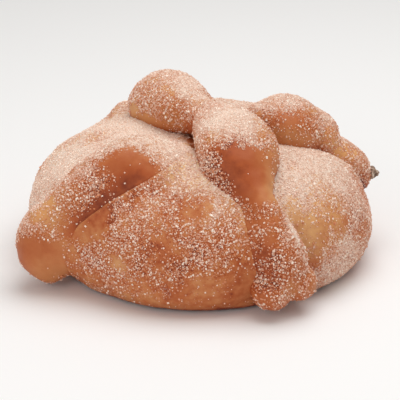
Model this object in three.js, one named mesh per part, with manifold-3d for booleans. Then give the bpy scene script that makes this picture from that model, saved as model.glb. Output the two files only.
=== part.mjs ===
// A small round loaf of sweet bread, with two bone-shaped strips of dough crossed over its dome
// and the coarsest of its sugar crystals. Millimetres; +Z is up, the loaf rests on z = 0 and its
// front faces -Y. The origin is the middle of the flat base.
import * as THREE from 'three';
import { mergeVertices } from 'three/addons/utils/BufferGeometryUtils.js';
import Module from 'manifold-3d';

const wasm = await Module();
wasm.setup();

// ---- driving dimensions ----

// The loaf: a squarish dome over a belt, drawn in below the belt and cut flat where it stands.
const LOAF_RADIUS = 59.5;
const LOAF_HEIGHT = 50;
const BELT_HEIGHT = 15;
const UNDERSIDE_DEPTH = 32;
const DOME_POWER = 2.2;
const UNDERSIDE_POWER = 2;
// The outline seen from above is a little out of round: waves around the loaf, share of radius, turn.
const OUT_OF_ROUND = [
  { waves: 1, share: 0.012, turn: 3.64 },
  { waves: 2, share: 0.008, turn: 0.6 },
  { waves: 3, share: 0.006, turn: 1.0 },
];
// The dough sinks along the strips, sinks most where they cross, and is puffed up or low in places.
const VALLEY_DEPTH = 3;
const VALLEY_REACH = 12;
const SWELLS = [
  { heading: 221, over: 57, reach: 7, rise: 5.6 },
  { heading: 26, over: 10, reach: 14, rise: -7.5 },
  { heading: 102, over: 38, reach: 17, rise: -4.5 },
  { heading: -80, over: 30, reach: 12, rise: -4 },
  { heading: -35, over: 100, reach: 20, rise: -1.8 },
  { heading: -120, over: 55, reach: 13, rise: -2.6 },
  { heading: 94, over: 62, reach: 10, rise: -1.6 },
  { heading: 82, over: 80, reach: 9, rise: -2.4 },
];

// A strip follows a great circle over the dome. Its heading is in degrees from the front towards
// +X. Each station gives, in this order: the angle over the dome from its top and the sideways
// angle, in degrees, the lift of the strip's middle, its half-width and its half-height, in mm.
const LOWER_STRIP = {
  heading: -62,
  stations: [
    [96, 3, 4, 7, 7], [88, 3, 4.5, 9.5, 9.5], [76, 8, 2, 7, 7.4], [65, 12.4, 2, 9, 8],
    [53, 16.8, 2.2, 10, 8.8], [43, 20.8, 0.8, 8.6, 7], [34, 23.5, -2.2, 5.4, 4.4],
    [20, 22.5, -4.4, 4.2, 3.4], [0, 17, -5.5, 4.5, 3.4], [-14, 15.8, -4, 4.6, 4],
    [-24, 16.5, 0, 6.2, 5.8], [-31, 17.4, 2.4, 9.8, 8.6], [-38, 18, 3.2, 12.8, 10],
    [-44, 17.2, 3, 12.2, 9.4], [-49, 16, 1.8, 10.6, 8], [-55, 15.2, 1.8, 10.8, 8],
    [-62, 16.2, -0.4, 9, 5.7], [-69, 17.2, -0.8, 8.5, 5.8], [-75, 17.8, 0, 7.9, 6.2],
    [-80, 17.6, -0.4, 5.8, 5.5],
  ],
  knuckles: [],
};
const UPPER_STRIP = {
  heading: 25,
  stations: [
    [93, 1.6, 2, 6, 5.5], [86, 1.2, 2.6, 8.2, 7], [76, -1.2, 2, 6.4, 6], [65, -2.6, 2, 5.2, 6],
    [57, -2.9, 2.4, 9, 7.2], [49, -2.7, 3.8, 13, 9.2], [40, -0.9, 5, 13.4, 10], [28, 0, 4, 11, 9],
    [12, 0, 3, 7, 6.5], [-4, -2, 3, 7.5, 7], [-18, -6, 4, 11, 10], [-31, -6.5, 4.4, 13, 10.8],
    [-44, -4, 2.5, 11, 9], [-56, -1, 1.5, 8, 7], [-66, 0, 1, 7, 6], [-80, 0, 2, 8, 7],
    [-90, 0, 3, 9, 7],
  ],
  // The front end is pinched into two round knuckles.
  knuckles: [
    { over: 95.6, aside: -2.5, lift: 3.6, radius: 6.7 },
    { over: 94.6, aside: 7, lift: 3.4, radius: 6.3 },
  ],
};
// A burnt scrap of dough stands out from the right-hand end of the lower strip.
const BURNT_SCRAP = { over: -79.8, aside: 18, lift: 9, length: 6, thickness: 4 };

// Sugar: the coarsest crystals are cubes half sunk in the crust.
const CRYSTAL_SIZE = { least: 1.1, most: 1.6 };
const CRYSTALS_TRIED = { loaf: 180, strip: 90 };
const CRYSTAL_CLEARANCE = 0.8;
const CRYSTAL_LOWEST = 6;

// Gap between the pieces, and how finely each is divided.
const GAP = 0.3;
const LOAF_DIVISIONS = { around: 46, down: 24 };
const STRIP_DIVISIONS = { around: 14, along: 32, cap: 3 };
const FRAME_COUNT = 160;

// ---- small helpers ----

const CENTRE = new THREE.Vector3(0, 0, BELT_HEIGHT);
const UP = new THREE.Vector3(0, 0, 1);
const radians = THREE.MathUtils.degToRad;
const fraction = (value) => value - Math.floor(value);
const between = (low, high, share) => low + (high - low) * share;

// A repeatable stream of numbers from 0 to 1.
function randomStream(seed) {
  let state = seed;
  return () => {
    state = (state * 1664525 + 1013904223) % 4294967296;
    return state / 4294967296;
  };
}

// The same shape with only its positions, its shared vertices merged.
function weld(geometry) {
  const bare = geometry.clone();
  bare.deleteAttribute('normal');
  bare.deleteAttribute('uv');
  return mergeVertices(bare, 1e-5);
}

function solidOf(geometry) {
  const merged = weld(geometry);
  return new wasm.Manifold(new wasm.Mesh({
    numProp: 3,
    vertProperties: new Float32Array(merged.attributes.position.array),
    triVerts: new Uint32Array(merged.index.array),
  }));
}

function meshOf(name, solid, material) {
  const { vertProperties, triVerts } = solid.getMesh();
  const geometry = new THREE.BufferGeometry();
  geometry.setAttribute('position', new THREE.Float32BufferAttribute(vertProperties, 3));
  geometry.setIndex(new THREE.Uint32BufferAttribute(triVerts, 1));
  geometry.computeVertexNormals();
  const mesh = new THREE.Mesh(geometry, material);
  mesh.name = name;
  return mesh;
}

// Moves every vertex of a geometry by a rule.
function reshape(geometry, rule) {
  const position = geometry.attributes.position;
  const vertex = new THREE.Vector3();
  for (let i = 0; i < position.count; i += 1) {
    const moved = rule(vertex.fromBufferAttribute(position, i));
    position.setXYZ(i, moved.x, moved.y, moved.z);
  }
  return geometry;
}

// ---- the dome and the paths over it ----

// Distance from the loaf's centre to its plain dome along a unit direction.
function domeRadius(direction) {
  const azimuth = Math.atan2(direction.y, direction.x);
  let belt = LOAF_RADIUS;
  for (const { waves, share, turn } of OUT_OF_ROUND) {
    belt += LOAF_RADIUS * share * Math.cos(waves * azimuth + turn);
  }
  const above = direction.z > 0;
  const rise = above ? LOAF_HEIGHT - BELT_HEIGHT : UNDERSIDE_DEPTH;
  const power = above ? DOME_POWER : UNDERSIDE_POWER;
  const level = Math.hypot(direction.x, direction.y);
  return ((level / belt) ** power + (Math.abs(direction.z) / rise) ** power) ** (-1 / power);
}

// The unit direction at an angle over the dome along a heading, stepped sideways by another angle.
function domeDirection(heading, over, aside = 0) {
  const ahead = new THREE.Vector3(Math.sin(radians(heading)), -Math.cos(radians(heading)), 0);
  const sideways = new THREE.Vector3(-ahead.y, ahead.x, 0);
  return new THREE.Vector3()
    .addScaledVector(ahead, Math.sin(radians(over)) * Math.cos(radians(aside)))
    .addScaledVector(UP, Math.cos(radians(over)) * Math.cos(radians(aside)))
    .addScaledVector(sideways, Math.sin(radians(aside)));
}

// A point at a lift over the bottom of the valley that a strip lies in.
function liftedPoint(heading, over, aside, lift) {
  const direction = domeDirection(heading, over, aside);
  return direction.multiplyScalar(domeRadius(direction) - VALLEY_DEPTH + lift).add(CENTRE);
}

// The middle line of a strip as frames: its middle, the directions along it, out from the loaf's
// centre, square out of it and across it, and its half-width and half-height.
function stripFrames(strip) {
  const route = new THREE.CatmullRomCurve3(
    strip.stations.map(([over, aside, lift]) => new THREE.Vector3(over, aside, lift)),
    false, 'catmullrom', 0.5);
  const girth = new THREE.CatmullRomCurve3(
    strip.stations.map(([, , , wide, high]) => new THREE.Vector3(wide, high, 0)),
    false, 'catmullrom', 0.5);
  const middles = [];
  for (let i = 0; i <= FRAME_COUNT; i += 1) {
    const { x: over, y: aside, z: lift } = route.getPoint(i / FRAME_COUNT);
    middles.push(liftedPoint(strip.heading, over, aside, lift));
  }
  return middles.map((middle, i) => {
    const before = middles[Math.max(i - 1, 0)];
    const after = middles[Math.min(i + 1, FRAME_COUNT)];
    const along = after.clone().sub(before).normalize();
    const radial = middle.clone().sub(CENTRE).normalize();
    const outwards = radial.clone().addScaledVector(along, -radial.dot(along)).normalize();
    const across = along.clone().cross(outwards);
    const { x: wide, y: high } = girth.getPoint(i / FRAME_COUNT);
    return { middle, along, radial, outwards, across, wide, high };
  });
}

LOWER_STRIP.frames = stripFrames(LOWER_STRIP);
UPPER_STRIP.frames = stripFrames(UPPER_STRIP);
const STRIPS = [LOWER_STRIP, UPPER_STRIP];

const distanceToStrip = (point, strip) => Math.min(...strip.frames.map(({ middle }) => middle.distanceTo(point)));

// The loaf's surface along a direction from its centre, with the valleys and swells.
function loafPoint(direction, extra = 0) {
  const radius = domeRadius(direction);
  const plain = direction.clone().multiplyScalar(radius).add(CENTRE);
  let change = extra;
  for (const strip of STRIPS) {
    change -= VALLEY_DEPTH * Math.exp(-((distanceToStrip(plain, strip) / VALLEY_REACH) ** 2));
  }
  for (const { heading, over, reach, rise } of SWELLS) {
    const swellDirection = domeDirection(heading, over);
    const peak = swellDirection.clone().multiplyScalar(domeRadius(swellDirection)).add(CENTRE);
    change += rise * Math.exp(-((peak.distanceTo(plain) / reach) ** 2));
  }
  return direction.clone().multiplyScalar(radius + change).add(CENTRE);
}

// ---- the solids ----

function bareLoaf(extra = 0) {
  const { around, down } = LOAF_DIVISIONS;
  const dome = new THREE.SphereGeometry(1, around, down).rotateX(Math.PI / 2);
  reshape(dome, (vertex) => loafPoint(vertex.clone().normalize(), extra));
  const table = new THREE.BoxGeometry(4 * LOAF_RADIUS, 4 * LOAF_RADIUS, LOAF_HEIGHT)
    .translate(0, 0, -LOAF_HEIGHT / 2);
  return solidOf(dome).subtract(solidOf(table));
}

// A strip is a round-ended capsule bent along its frames, with its knuckles joined on. Its lower
// half follows the lines to the loaf's centre, so that it never folds over itself.
function bareStrip(strip, extra = 0) {
  const { around, along, cap } = STRIP_DIVISIONS;
  const capsule = new THREE.CapsuleGeometry(1, 1, cap, around, along);
  reshape(capsule, (vertex) => {
    const share = THREE.MathUtils.clamp(vertex.y + 0.5, 0, 1);
    const beyond = vertex.y + 0.5 - share;
    const frame = strip.frames[Math.round(share * FRAME_COUNT)];
    const upwards = vertex.z > 0 ? frame.outwards : frame.radial;
    return frame.middle.clone()
      .addScaledVector(frame.across, vertex.x * (frame.wide + extra))
      .addScaledVector(upwards, vertex.z * (frame.high + extra))
      .addScaledVector(frame.along, beyond * (Math.min(frame.wide, frame.high) + extra));
  });
  return strip.knuckles.reduce((solid, { over, aside, lift, radius }) => {
    const place = liftedPoint(strip.heading, over, aside, lift);
    const knuckle = new THREE.SphereGeometry(radius + extra, 12, 8).translate(place.x, place.y, place.z);
    return solid.add(solidOf(knuckle));
  }, solidOf(capsule));
}

// A ragged, slightly hooked stub, its root buried in the strip's end.
function burntScrap(extra = 0) {
  const { over, aside, lift, length, thickness } = BURNT_SCRAP;
  const draw = randomStream(7);
  const root = liftedPoint(LOWER_STRIP.heading, over, aside, lift - length / 2);
  const tip = 0.3 * thickness + extra;
  const stub = new THREE.CylinderGeometry(tip, thickness / 2 + extra, length + 2 * extra, 7, 4)
    .rotateX(Math.PI / 2);
  const scrap = reshape(weld(stub), (vertex) => {
    const jitter = () => (draw() - 0.5) * 0.7;
    return vertex.clone().add(new THREE.Vector3(jitter(), jitter(), jitter() - 0.05 * vertex.x));
  });
  const outwards = domeDirection(LOWER_STRIP.heading, over, aside);
  scrap.applyQuaternion(new THREE.Quaternion().setFromUnitVectors(UP, outwards));
  return solidOf(scrap.translate(root.x, root.y, root.z));
}

const bareLower = (extra = 0) => bareStrip(LOWER_STRIP, extra).add(burntScrap(extra));
const bareUpper = (extra = 0) => bareStrip(UPPER_STRIP, extra);

// Joins to a solid a cube half sunk at each point, turned any way, with none that would stand
// free of it or reach a neighbour.
function sugared(solid, points, neighbours, draw) {
  return points.filter((point) => point.z > CRYSTAL_LOWEST)
    .map((point) => {
      const size = between(CRYSTAL_SIZE.least, CRYSTAL_SIZE.most, draw());
      const cube = new THREE.BoxGeometry(size, size * between(0.8, 1, draw()), size);
      cube.rotateX(draw() * Math.PI).rotateZ(draw() * Math.PI);
      return solidOf(cube.translate(point.x, point.y, point.z));
    })
    .filter((cube) => !cube.intersect(solid).isEmpty())
    .filter((cube) => neighbours.every((neighbour) => cube.intersect(neighbour).isEmpty()))
    .reduce((whole, cube) => whole.add(cube), solid);
}

// Points spread evenly over the loaf: equal steps of height, each turned by the golden angle.
function loafPoints(count, draw) {
  const goldenAngle = Math.PI * (3 - Math.sqrt(5));
  return Array.from({ length: count }, (_, i) => {
    const height = between(0.98, -0.25, (i + draw() * 0.8) / count);
    const level = Math.sqrt(1 - height * height);
    const turn = i * goldenAngle;
    return loafPoint(new THREE.Vector3(level * Math.cos(turn), level * Math.sin(turn), height));
  });
}

// Points spread evenly over the outer side of a strip.
function stripPoints(strip, count) {
  return Array.from({ length: count }, (_, i) => {
    const frame = strip.frames[Math.round(between(0.02, 0.98, fraction(i * 0.7549)) * FRAME_COUNT)];
    const angle = Math.PI * between(-0.08, 1.08, fraction(i * 0.5698));
    return frame.middle.clone()
      .addScaledVector(frame.across, frame.wide * Math.cos(angle))
      .addScaledVector(frame.outwards, frame.high * Math.sin(angle));
  });
}

const draw = randomStream(21);
const nearLoaf = bareLoaf(CRYSTAL_CLEARANCE);
const nearLower = bareLower(CRYSTAL_CLEARANCE);
const nearUpper = bareUpper(CRYSTAL_CLEARANCE);

const loaf = sugared(
  bareLoaf().subtract(bareLower(GAP)).subtract(bareUpper(GAP)),
  loafPoints(CRYSTALS_TRIED.loaf, draw), [nearLower, nearUpper], draw);
const lowerStrip = sugared(
  bareLower().subtract(bareUpper(GAP)),
  stripPoints(LOWER_STRIP, CRYSTALS_TRIED.strip), [nearLoaf, nearUpper], draw);
const upperStrip = sugared(
  bareUpper(),
  stripPoints(UPPER_STRIP, CRYSTALS_TRIED.strip), [nearLoaf, nearLower], draw);

// ---- materials and the group ----

const crust = (color) => new THREE.MeshStandardMaterial({ color, roughness: 0.75, metalness: 0 });

const bread = new THREE.Group();
bread.add(
  meshOf('loaf', loaf, crust(0xcf9a6c)),
  meshOf('lower_strip', lowerStrip, crust(0xbd7a4a)),
  meshOf('upper_strip', upperStrip, crust(0xc27f50)),
);

export default bread;
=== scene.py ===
"""A small round loaf of sugared sweet bread with two bone-shaped strips of dough over its dome.

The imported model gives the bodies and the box. The dough is worked out here as smooth fields, in
millimetres, from the same driving dimensions as the solids, and meshed as three closed crusts.
Sugar crystals are real mesh in three sizes. The loaf rests on z = 0 and its front faces -Y.
"""

import logging
import math
from dataclasses import dataclass, field
from enum import Enum

import bmesh
import bpy
import numpy as np
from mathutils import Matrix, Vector


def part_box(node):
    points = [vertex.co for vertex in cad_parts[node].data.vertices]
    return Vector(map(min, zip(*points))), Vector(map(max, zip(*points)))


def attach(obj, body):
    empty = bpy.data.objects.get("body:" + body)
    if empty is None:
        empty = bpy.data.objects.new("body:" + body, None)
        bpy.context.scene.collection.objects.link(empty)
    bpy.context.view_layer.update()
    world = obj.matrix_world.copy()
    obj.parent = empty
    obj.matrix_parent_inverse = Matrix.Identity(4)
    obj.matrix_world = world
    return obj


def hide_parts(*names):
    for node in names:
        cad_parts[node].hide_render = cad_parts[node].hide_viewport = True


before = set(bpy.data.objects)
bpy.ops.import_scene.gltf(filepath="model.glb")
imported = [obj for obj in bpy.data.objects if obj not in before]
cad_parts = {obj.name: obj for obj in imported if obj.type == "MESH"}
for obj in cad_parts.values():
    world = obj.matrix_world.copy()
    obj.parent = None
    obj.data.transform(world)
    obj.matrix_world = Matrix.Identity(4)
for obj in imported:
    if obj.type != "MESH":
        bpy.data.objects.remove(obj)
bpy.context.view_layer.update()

LOG = logging.getLogger("sweet_bread")
MILLIMETRE = 0.001
SQUARE_CENTIMETRES = 10000.0
BODY = "root"

Pair = tuple[float, float]
Pairs = tuple[Pair, ...]
Place = tuple[float, float, float]
Colour = tuple[float, float, float, float]
Stops = tuple[tuple[float, Colour], ...]
Socket = bpy.types.NodeSocket


# ---- named choices ----


class Node(Enum):
    """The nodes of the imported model."""

    LOAF = "loaf"
    LOWER_STRIP = "lower_strip"
    UPPER_STRIP = "upper_strip"


class Slot(Enum):
    """The record's material slots."""

    LOAF_CRUST = "loaf_crust"
    STRIP_CRUST = "strip_crust"


class Mark(Enum):
    """What a patch does to the crust."""

    TOASTED = "toasted"
    BROWNED = "browned"
    LIGHT = "light"
    PALE = "pale"
    BARE = "bare"
    CLEAR = "clear"
    GRAINY = "grainy"
    SUGARED = "sugared"
    FROSTED = "frosted"


BAKED_MARKS = (Mark.TOASTED, Mark.BROWNED, Mark.LIGHT, Mark.PALE)


class Crystal(Enum):
    """The shapes of a sugar crystal: a block of 12 triangles, or a chip of 8."""

    BLOCK = "block"
    CHIP = "chip"


# ---- small helpers ----


def smooth_minimum(first: np.ndarray, second: np.ndarray, radius: np.ndarray | float) -> np.ndarray:
    """The lesser of two fields, rounded where they are nearly alike.

    Args:
        first: One field.
        second: The other field.
        radius: How far apart the fields still blend, in mm.

    Returns:
        The blended field.
    """
    overlap = np.maximum(radius - np.abs(first - second), 0) / radius
    return np.minimum(first, second) - overlap * overlap * radius / 4


def smooth_step(low: float, high: float, value: np.ndarray) -> np.ndarray:
    """Rises from 0 at low to 1 at high, or falls where low is the greater."""
    share = np.clip((value - low) / (high - low), 0, 1)
    return share * share * (3 - 2 * share)


def curve_through(knots: np.ndarray, shares: np.ndarray) -> np.ndarray:
    """Points on a uniform Catmull-Rom curve.

    Args:
        knots: The points that the curve passes, one a row.
        shares: Where on the curve, from 0 to 1.

    Returns:
        One row for each share.
    """
    padded = np.vstack([2 * knots[0] - knots[1], knots, 2 * knots[-1] - knots[-2]])
    place = shares * (len(knots) - 1)
    first = np.minimum(place.astype(int), len(knots) - 2)
    t = (place - first)[:, None]
    before, start, end, after = (padded[first + step] for step in range(4))
    bend = (2 * before - 5 * start + 4 * end - after) * t**2
    twist = (3 * start - before - 3 * end + after) * t**3
    return 0.5 * (2 * start + (end - before) * t + bend + twist)


def unit(vectors: np.ndarray) -> np.ndarray:
    """The vectors scaled to length 1."""
    return vectors / np.maximum(np.linalg.norm(vectors, axis=-1, keepdims=True), 1e-9)


def add_object(name: str, data: bpy.types.ID) -> bpy.types.Object:
    """A new object at the origin with its data, linked to the scene."""
    made = bpy.data.objects.new(name, data)
    bpy.context.scene.collection.objects.link(made)
    return made


class Lumps:
    """Smooth random values in space, from 0 to 1, the same for every piece."""

    def __init__(self, seed: int, count: int = 40) -> None:
        """Draws a block of random numbers, repeated in every direction."""
        self.count = count
        self.block = np.random.default_rng(seed).random((count, count, count))

    def at(self, points: np.ndarray, size: float) -> np.ndarray:
        """The values at points, with lumps of a size in mm."""
        place = points / size + 0.37 * self.count
        low = np.floor(place).astype(int)
        part = place - low
        part = part * part * (3 - 2 * part)
        total = np.zeros(len(points))
        for corner in np.ndindex(2, 2, 2):
            weight = np.prod(np.where(corner, part, 1 - part), axis=1)
            index = (low + corner) % self.count
            total += weight * self.block[index[:, 0], index[:, 1], index[:, 2]]
        return total

    def mixed(self, points: np.ndarray, layers: Pairs, middle: float = 0.0) -> np.ndarray:
        """Layers of lumps added up.

        Args:
            points: Where the values are wanted, in mm.
            layers: The size and the share of each layer.
            middle: What is taken from each layer's values first.

        Returns:
            One value for each point.
        """
        return sum(share * (self.at(points, size) - middle) for size, share in layers)


class Grid:
    """A box of evenly spaced points, in mm."""

    def __init__(self, low: np.ndarray, high: np.ndarray, pitch: float) -> None:
        """Lays out the points from the lowest corner, a pitch apart."""
        self.low = np.asarray(low, float)
        self.pitch = pitch
        self.shape = tuple(int(math.ceil(side / pitch)) + 1 for side in np.asarray(high) - self.low)
        lines = [self.low[axis] + pitch * np.arange(self.shape[axis]) for axis in range(3)]
        self.points = np.stack(np.meshgrid(*lines, indexing="ij"), axis=-1).astype(np.float32)

    def window(self, middle: np.ndarray, reach: float) -> tuple[slice, ...]:
        """The part of the grid within a reach of a point, as slices."""
        start = np.floor((middle - reach - self.low) / self.pitch).astype(int)
        stop = np.ceil((middle + reach - self.low) / self.pitch).astype(int) + 1
        return tuple(slice(max(a, 0), max(b, 0)) for a, b in zip(start, stop))

    def sample(self, values: np.ndarray, points: np.ndarray) -> np.ndarray:
        """The values at points between the grid's own, blended from the eight around each."""
        place = (points - self.low) / self.pitch
        low = np.clip(np.floor(place).astype(int), 0, np.array(self.shape) - 2)
        part = place - low
        total = 0.0
        for corner in np.ndindex(2, 2, 2):
            weight = np.prod(np.where(corner, part, 1 - part), axis=1)
            found = values[low[:, 0] + corner[0], low[:, 1] + corner[1], low[:, 2] + corner[2]]
            total = total + (found.T * weight).T
        return total


# ---- the dough ----


@dataclass(frozen=True)
class Swell:
    """A place where the dome is puffed up, or low where the rise is negative."""

    heading: float
    over: float
    reach: float
    rise: float


@dataclass(frozen=True)
class Wave:
    """One way in which the outline from above is out of round."""

    waves: int
    share: float
    turn: float


@dataclass(frozen=True)
class Dome:
    """The plain dome: squarish over a belt, drawn in below it, and flat where it stands."""

    radius: float = 59.5
    height: float = 50.0
    belt_height: float = 15.0
    underside_depth: float = 32.0
    dome_power: float = 2.2
    underside_power: float = 2.0
    base_round: float = 3.0
    waves: tuple[Wave, ...] = (Wave(1, 0.012, 3.64), Wave(2, 0.008, 0.6), Wave(3, 0.006, 1.0))

    @property
    def centre(self) -> np.ndarray:
        """The middle of the belt."""
        return np.array([0, 0, self.belt_height])

    def stretch(self, offset: np.ndarray) -> np.ndarray:
        """How far out an offset from the centre is, where 1 is on the dome."""
        azimuth = np.arctan2(offset[..., 1], offset[..., 0])
        out_of_round = sum(wave.share * np.cos(wave.waves * azimuth + wave.turn) for wave in self.waves)
        belt = self.radius * (1 + out_of_round)
        above = offset[..., 2] > 0
        rise = np.where(above, self.height - self.belt_height, self.underside_depth)
        power = np.where(above, self.dome_power, self.underside_power)
        level = np.hypot(offset[..., 0], offset[..., 1])
        return ((level / belt) ** power + (np.abs(offset[..., 2]) / rise) ** power) ** (1 / power)

    def direction(self, heading: float, over: float, aside: float = 0.0) -> np.ndarray:
        """The unit direction from the centre at an angle over the dome along a heading.

        Args:
            heading: Degrees from the front towards +X.
            over: Degrees from the top, along the heading.
            aside: Degrees sideways from there.

        Returns:
            The direction.
        """
        turn, over, aside = (math.radians(angle) for angle in (heading, over, aside))
        ahead = np.array([math.sin(turn), -math.cos(turn), 0])
        sideways = np.array([-ahead[1], ahead[0], 0])
        level = ahead * math.sin(over) * math.cos(aside)
        upwards = np.array([0, 0, math.cos(over) * math.cos(aside)])
        return level + upwards + sideways * math.sin(aside)

    def point(self, heading: float, over: float, aside: float = 0.0, lift: float = 0.0) -> np.ndarray:
        """The point at a lift over the plain dome, at the same angles."""
        direction = self.direction(heading, over, aside)
        return self.centre + direction * (1 / self.stretch(direction) + lift)


@dataclass(frozen=True)
class Station:
    """A place along a strip: its angles over the dome, lift, half-width and half-height."""

    over: float
    aside: float
    lift: float
    wide: float
    high: float


@dataclass(frozen=True)
class Knuckle:
    """A round lobe pinched from a strip's end."""

    over: float
    aside: float
    lift: float
    radius: float


@dataclass
class Strip:
    """A rolled strip of dough laid over the dome, swollen and waisted like a bone."""

    dome: Dome
    heading: float
    stations: tuple[Station, ...]
    knuckles: tuple[Knuckle, ...] = ()
    valley_depth: float = 3.0
    section_count: int = 160
    knuckle_blend: float = 2.2
    far: float = 9.0
    window_share: float = 0.8

    def __post_init__(self) -> None:
        """Works out the sections along the strip."""
        rows = np.array([(s.over, s.aside, s.lift, s.wide, s.high) for s in self.stations], float)
        rows = curve_through(rows, np.arange(self.section_count + 1) / self.section_count)
        self.over, self.wide, self.high = rows[:, 0], rows[:, 3], rows[:, 4]
        self.middle = np.array([self.place(over, aside, lift) for over, aside, lift in rows[:, :3]])
        self.along = unit(np.vstack([self.middle[1:], self.middle[-1:]])
                          - np.vstack([self.middle[:1], self.middle[:-1]]))
        outwards = self.middle - self.dome.centre
        outwards -= self.along * np.sum(outwards * self.along, axis=1, keepdims=True)
        self.outwards = unit(outwards)
        self.across = np.cross(self.along, self.outwards)

    def place(self, over: float, aside: float, lift: float) -> np.ndarray:
        """A point at a lift over the bottom of the valley that the strip lies in."""
        return self.dome.point(self.heading, over, aside, lift - self.valley_depth)

    def skin(self, over: float, turn: float) -> tuple[np.ndarray, np.ndarray]:
        """A point on the strip's skin and the direction along the strip there.

        Args:
            over: The angle over the dome.
            turn: Degrees round the section, 90 at the crest.

        Returns:
            The point and the unit direction.
        """
        index = int(np.argmin(np.abs(self.over - over)))
        side = self.across[index] * self.wide[index] * math.cos(math.radians(turn))
        crest = self.outwards[index] * self.high[index] * math.sin(math.radians(turn))
        return self.middle[index] + side + crest, self.along[index]

    def distances(self, grid: Grid) -> np.ndarray:
        """The distance from the strip at each point of a grid, exact only near it."""
        nearest = np.full(grid.shape, self.far, np.float32)
        for index in range(self.section_count + 1):
            wide, high = self.wide[index], self.high[index]
            window = grid.window(self.middle[index], max(wide, high) + self.far * self.window_share)
            offset = grid.points[window] - self.middle[index].astype(np.float32)
            axes = np.stack([self.across[index] / wide, self.outwards[index] / high,
                             self.along[index] / min(wide, high)], axis=1).astype(np.float32)
            stretch = np.linalg.norm(offset @ axes, axis=-1)
            length = np.linalg.norm(offset, axis=-1)
            here = length - length / np.maximum(stretch, 1e-4)
            nearest[window] = np.minimum(nearest[window], here)
        for knuckle in self.knuckles:
            middle = self.place(knuckle.over, knuckle.aside, knuckle.lift)
            here = np.linalg.norm(grid.points - middle, axis=-1) - knuckle.radius
            nearest = smooth_minimum(nearest, here, self.knuckle_blend)
        return nearest


@dataclass(frozen=True)
class Melt:
    """A place where a strip and the loaf baked into each other with a wide soft join."""

    strip: Node
    heading: float
    over: float
    reach: float
    radius: float


@dataclass(frozen=True)
class Crack:
    """A groove torn along a line through places given by heading, over and lift on the dome."""

    places: tuple[Place, ...]
    depth: float
    width: float

    def nearness(self, dome: Dome, points: np.ndarray, width: float) -> np.ndarray:
        """How near points are to the crack's line, from 1 on it to 0 well beyond a width."""
        knots = [dome.point(heading, over, 0.0, lift) for heading, over, lift in self.places]
        nearest = np.full(points.shape[:-1], np.inf)
        for first, last in zip(knots, knots[1:]):
            span = last - first
            share = np.clip((points - first) @ span / (span @ span), 0, 1)
            nearest = np.minimum(nearest, ((points - first - share[..., None] * span) ** 2).sum(-1))
        return np.exp(-nearest / width**2)


@dataclass
class Dough:
    """The whole bread as three distance fields and their smooth union."""

    dome: Dome
    lower: Strip
    upper: Strip
    swells: tuple[Swell, ...]
    melts: tuple[Melt, ...]
    cracks: tuple[Crack, ...]
    valley_reach: float = 12.0
    crease_radius: float = 1.2
    band: float = 7.0
    middle_step: int = 4
    dive: float = 0.45
    dive_growth: float = 0.22

    def valley_and_swells(self, points: np.ndarray) -> np.ndarray:
        """How far the dome is raised at points on the plain dome, negative in the valleys."""
        change = np.zeros(len(points), np.float32)
        for strip in (self.lower, self.upper):
            nearest = np.full(len(points), np.inf, np.float32)
            for middle in strip.middle[::self.middle_step].astype(np.float32):
                offset = points - middle
                np.minimum(nearest, np.einsum("ij,ij->i", offset, offset), out=nearest)
            change -= strip.valley_depth * np.exp(-nearest / self.valley_reach**2)
        for swell in self.swells:
            peak = self.dome.point(swell.heading, swell.over)
            square = ((points - peak) ** 2).sum(1)
            change += swell.rise * np.exp(-square / swell.reach**2)
        return change

    def loaf_distances(self, grid: Grid) -> np.ndarray:
        """The distance from the loaf at each point of a grid, without the strips."""
        offset = grid.points - self.dome.centre.astype(np.float32)
        length = np.linalg.norm(offset, axis=-1)
        stretch = np.maximum(self.dome.stretch(offset), 1e-4)
        plain = length - length / stretch
        near = np.abs(plain) < self.band
        on_dome = (self.dome.centre + offset[near] / stretch[near][:, None]).astype(np.float32)
        plain[near] -= self.valley_and_swells(on_dome)
        return -smooth_minimum(-plain, grid.points[..., 2], self.dome.base_round)

    def fields(self, grid: Grid) -> tuple[dict[Node, np.ndarray], np.ndarray]:
        """The three distance fields on a grid and their smooth union.

        Args:
            grid: Where the fields are wanted.

        Returns:
            The fields by node, and the union.
        """
        own = {Node.LOAF: self.loaf_distances(grid), Node.LOWER_STRIP: self.lower.distances(grid),
               Node.UPPER_STRIP: self.upper.distances(grid)}
        union = own[Node.LOAF]
        for strip in (Node.LOWER_STRIP, Node.UPPER_STRIP):
            radius = np.full(grid.shape, self.crease_radius, np.float32)
            for melt in self.melts:
                if melt.strip is strip:
                    square = ((grid.points - self.dome.point(melt.heading, melt.over)) ** 2).sum(-1)
                    radius += (melt.radius - self.crease_radius) * np.exp(-square / melt.reach**2)
            union = smooth_minimum(union, own[strip], radius)
        for crack in self.cracks:
            union += crack.depth * crack.nearness(self.dome, grid.points, crack.width)
        return own, union

    def piece_field(self, own: dict[Node, np.ndarray], union: np.ndarray, node: Node) -> np.ndarray:
        """The field of one piece: the union where the piece is nearest, diving under its neighbours."""
        others = np.minimum.reduce([own[other] for other in own if other is not node])
        under = np.maximum(own[node] - others, 0)
        return union + self.dive * under + self.dive_growth * under**2


# ---- meshing ----


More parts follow.
